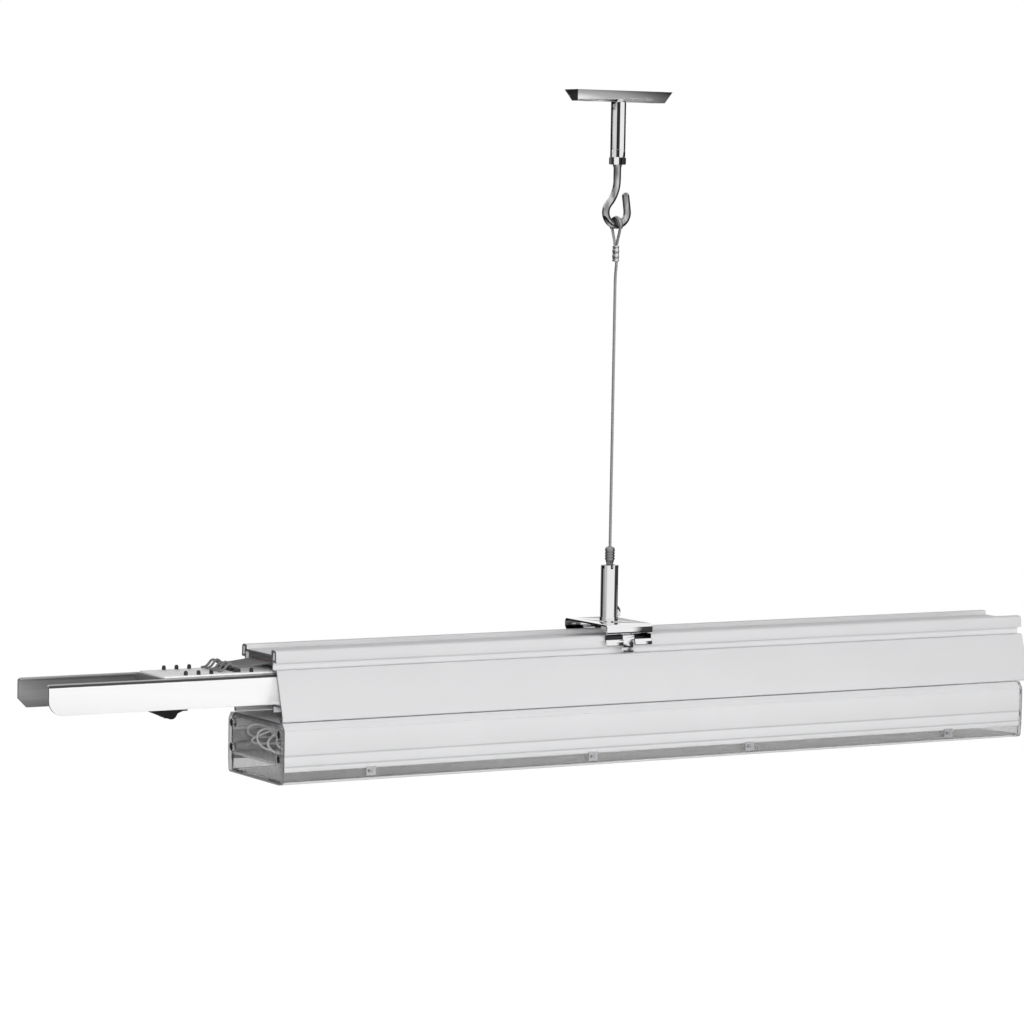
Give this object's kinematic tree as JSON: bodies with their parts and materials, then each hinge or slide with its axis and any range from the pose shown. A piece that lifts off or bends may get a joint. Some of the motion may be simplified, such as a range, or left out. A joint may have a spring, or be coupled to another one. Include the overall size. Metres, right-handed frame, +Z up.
{
  "type": "hanging trunking light",
  "caption": "Length of continuous-row LED trunking with a clip-in module and joiner, hung by a clip-on bracket, wire gripper, wire rope and hook from a ceiling plate.",
  "frame": {"origin": "middle of the ceiling plate's top face, straight above the wire", "axes": "+Z up; +X along the trunk away from the joiner; +Y across the trunk"},
  "size_m": [0.758, 0.0774, 0.4503],
  "materials": {
    "zinc_plated": "bright zinc plate on steel",
    "barrel_chrome": "polished nickel plate",
    "rope_steel": "bare galvanised strands",
    "ferrule_metal": "pressed aluminium, satin",
    "thimble_steel": "zinc plated sheet",
    "plunger_steel": "turned steel with grip ribs",
    "cone_brass": "turned brass",
    "spring_steel": "bright spring steel",
    "saddle_chrome": "polished spring steel",
    "rail_white": "white powder coat on extruded aluminium",
    "insulator_dark": "dark grey extruded plastic",
    "copper": "bare copper",
    "joiner_white": "white lacquered sheet steel",
    "contact_grey": "grey moulded plastic",
    "contact_black": "black moulded plastic",
    "catch_black": "black moulded plastic",
    "link_grey": "grey wire insulation",
    "module_white": "white powder coat on extruded aluminium",
    "clear_lens": "clear extruded acrylic",
    "end_clear": "clear moulded polycarbonate",
    "board_white": "white solder mask",
    "led_yellow": "phosphor",
    "driver_case": "white plastic case",
    "lead_white": "white wire insulation",
    "plug_dark": "dark grey moulded plastic"
  },
  "bodies": {
    "ceiling_bracket": {"ceiling_plate": "zinc_plated", "hex_spacer": "zinc_plated", "hook_nuts": "zinc_plated", "hook": "zinc_plated"},
    "thimble": {"eye_thimble": "thimble_steel"},
    "wire": {"suspension_wire": "rope_steel", "wire_ferrule": "ferrule_metal"},
    "gripper": {"gripper_barrel": "barrel_chrome", "gripper_base": "barrel_chrome", "stud_nut": "zinc_plated", "grip_cone": "cone_brass", "gripper_spring": "spring_steel"},
    "plunger": {"gripper_plunger": "plunger_steel", "gripper_balls": "barrel_chrome"},
    "clamp": {"clamp_bracket": "saddle_chrome"},
    "rail": {"rail": "rail_white", "conductor_profile": "insulator_dark", "conductor_strips": "copper", "coupler": "joiner_white", "coupler_screws": "zinc_plated", "contact_carrier": "contact_grey", "contact_pins": "contact_black", "link_wires": "link_grey", "latch_pin": "zinc_plated", "latch_spring": "spring_steel"},
    "latch": {"coupler_latch": "catch_black"},
    "module": {"module_housing": "module_white", "led_board": "board_white", "leds": "led_yellow", "lens": "clear_lens", "lens_clips": "spring_steel", "end_plate_left": "end_clear", "end_plate_right": "end_clear", "end_screws": "zinc_plated", "driver": "driver_case", "driver_screws": "zinc_plated", "terminal_block": "contact_grey", "driver_leads": "lead_white", "module_plug": "plug_dark", "plug_contacts": "copper", "module_clips": "spring_steel"}
  },
  "joints": [
    {"name": "eye_rock", "type": "hinge", "parent": "ceiling_bracket", "child": "thimble", "pos_m": [0, 0, -0.0815], "axis": [0, 1, 0], "range_deg": [-30, 30]},
    {"name": "wire_swing", "type": "hinge", "parent": "thimble", "child": "wire", "pos_m": [0, 0, -0.09], "axis": [1, 0, 0], "range_deg": [-30, 30]},
    {"name": "gripper_height", "type": "slide", "parent": "wire", "child": "gripper", "axis": [0, 0, 1], "range_m": [-0.006, 0.008]},
    {"name": "plunger_press", "type": "slide", "parent": "gripper", "child": "plunger", "axis": [0, 0, -1], "range_m": [0, 0.003], "stiffness_N_per_m": 200, "springref_m": -0.002, "deforming": ["gripper_spring"]},
    {"name": "gripper_swivel", "type": "hinge", "parent": "gripper", "child": "clamp", "pos_m": [0, 0, -0.358], "axis": [0, 0, 1], "continuous": true},
    {"name": "clamp_slide", "type": "slide", "parent": "clamp", "child": "rail", "axis": [1, 0, 0], "range_m": [-0.3, 0.24]},
    {"name": "catch_press", "type": "hinge", "parent": "rail", "child": "latch", "pos_m": [-0.308, 0, -0.395], "axis": [0, 1, 0], "range_deg": [0, 15], "stiffness_Nm_per_rad": 0.05, "springref_deg": -11.46},
    {"name": "module_release", "type": "slide", "parent": "rail", "child": "module", "axis": [0, 0, -1], "range_m": [0, 0.045]}
  ]
}
